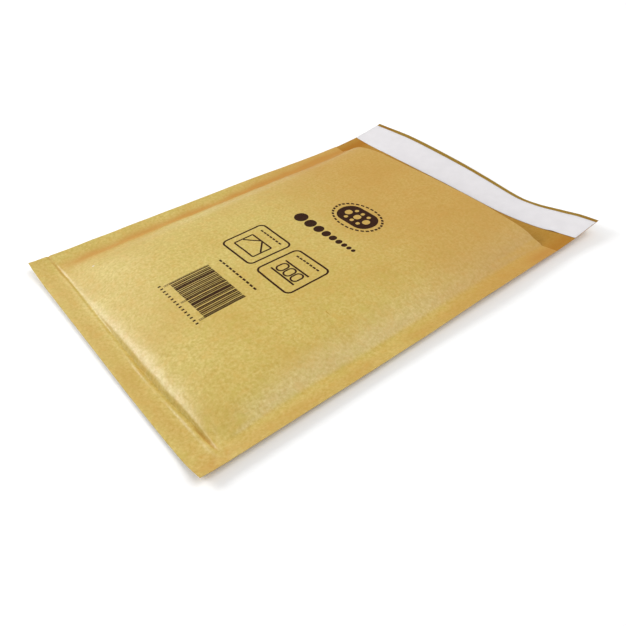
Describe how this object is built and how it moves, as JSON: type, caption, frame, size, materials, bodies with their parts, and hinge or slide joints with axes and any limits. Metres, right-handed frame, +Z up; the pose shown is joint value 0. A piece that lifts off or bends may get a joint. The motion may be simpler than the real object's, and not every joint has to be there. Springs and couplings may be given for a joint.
{
  "type": "padded envelope",
  "caption": "Open kraft mailing envelope lined with bubble film, sealed on three sides, with an unfolded flap that carries a glue strip under a peel-off liner.",
  "frame": {"origin": "on the resting plane, under the middle of the outline", "axes": "+X across the envelope, +Y from the sealed bottom end towards the flap, +Z up through the front panel"},
  "size_m": [0.225, 0.3218, 0.0168],
  "materials": {
    "kraft_paper": "satin",
    "bubble_film": "gloss",
    "hot_melt_glue": "satin",
    "silicone_paper": "satin"
  },
  "bodies": {
    "root": {"kraft_outer": "kraft_paper", "bubble_lining": "bubble_film", "adhesive_strip": "hot_melt_glue", "release_liner": "silicone_paper"}
  },
  "joints": []
}
